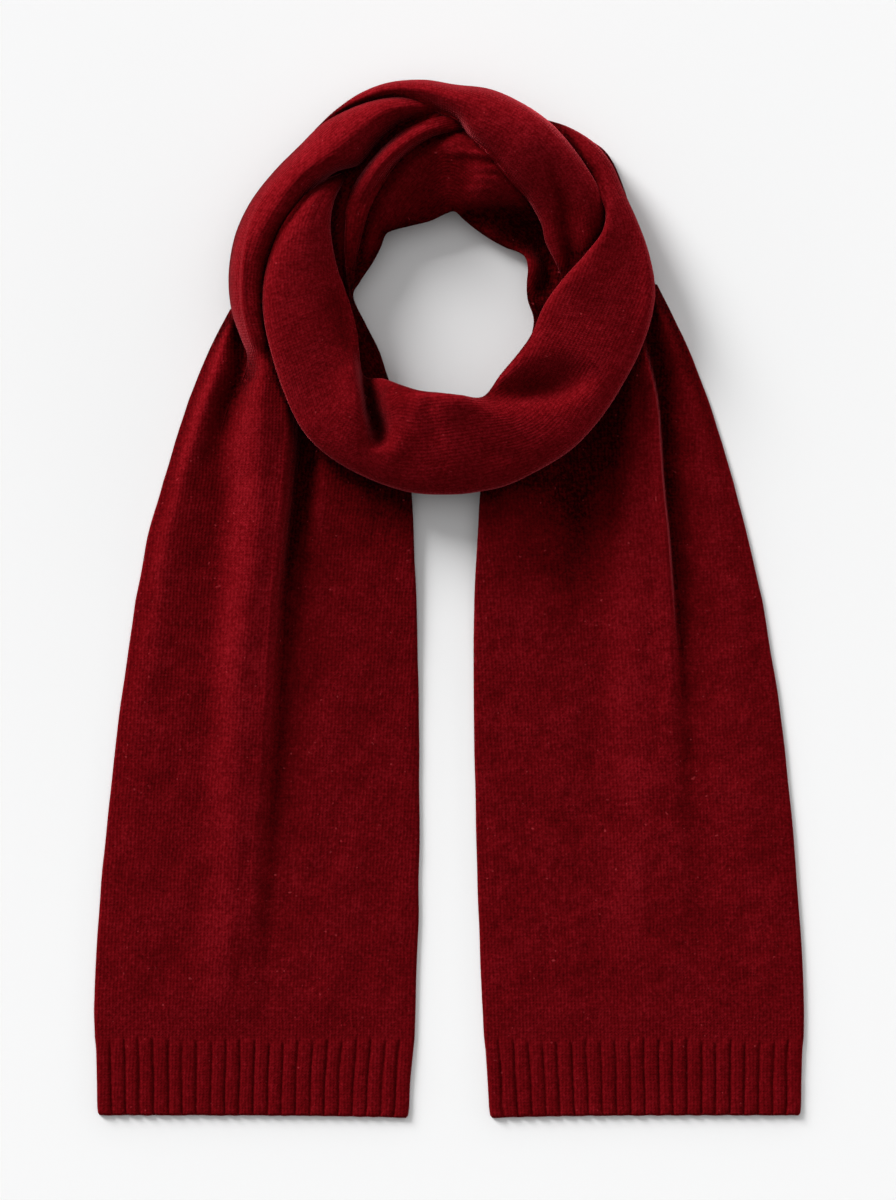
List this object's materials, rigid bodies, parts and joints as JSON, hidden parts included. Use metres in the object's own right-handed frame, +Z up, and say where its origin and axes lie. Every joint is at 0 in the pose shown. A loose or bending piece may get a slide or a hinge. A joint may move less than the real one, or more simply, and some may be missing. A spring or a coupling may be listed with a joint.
{
  "type": "knit scarf",
  "caption": "Long knitted scarf with ribbed ends, laid flat and wound round an open neck hole, its tails side by side.",
  "frame": {"origin": "on the table, under the middle of the scarf's outline", "axes": "+Y from the ribbed ends towards the wound end, +X to the right seen from above, +Z up"},
  "size_m": [0.6, 0.8781, 0.0598],
  "materials": {
    "knit": "brushed wool stockinette, matte with a short nap",
    "ribbing": "wool rib knit, matte"
  },
  "bodies": {
    "root": {"tail_left": "knit", "rib_left": "ribbing", "tail_right": "knit", "rib_right": "ribbing", "neck_wrap": "knit", "pleat_inner": "knit", "pleat_outer": "knit", "crown": "knit", "cowl": "knit"}
  },
  "joints": []
}
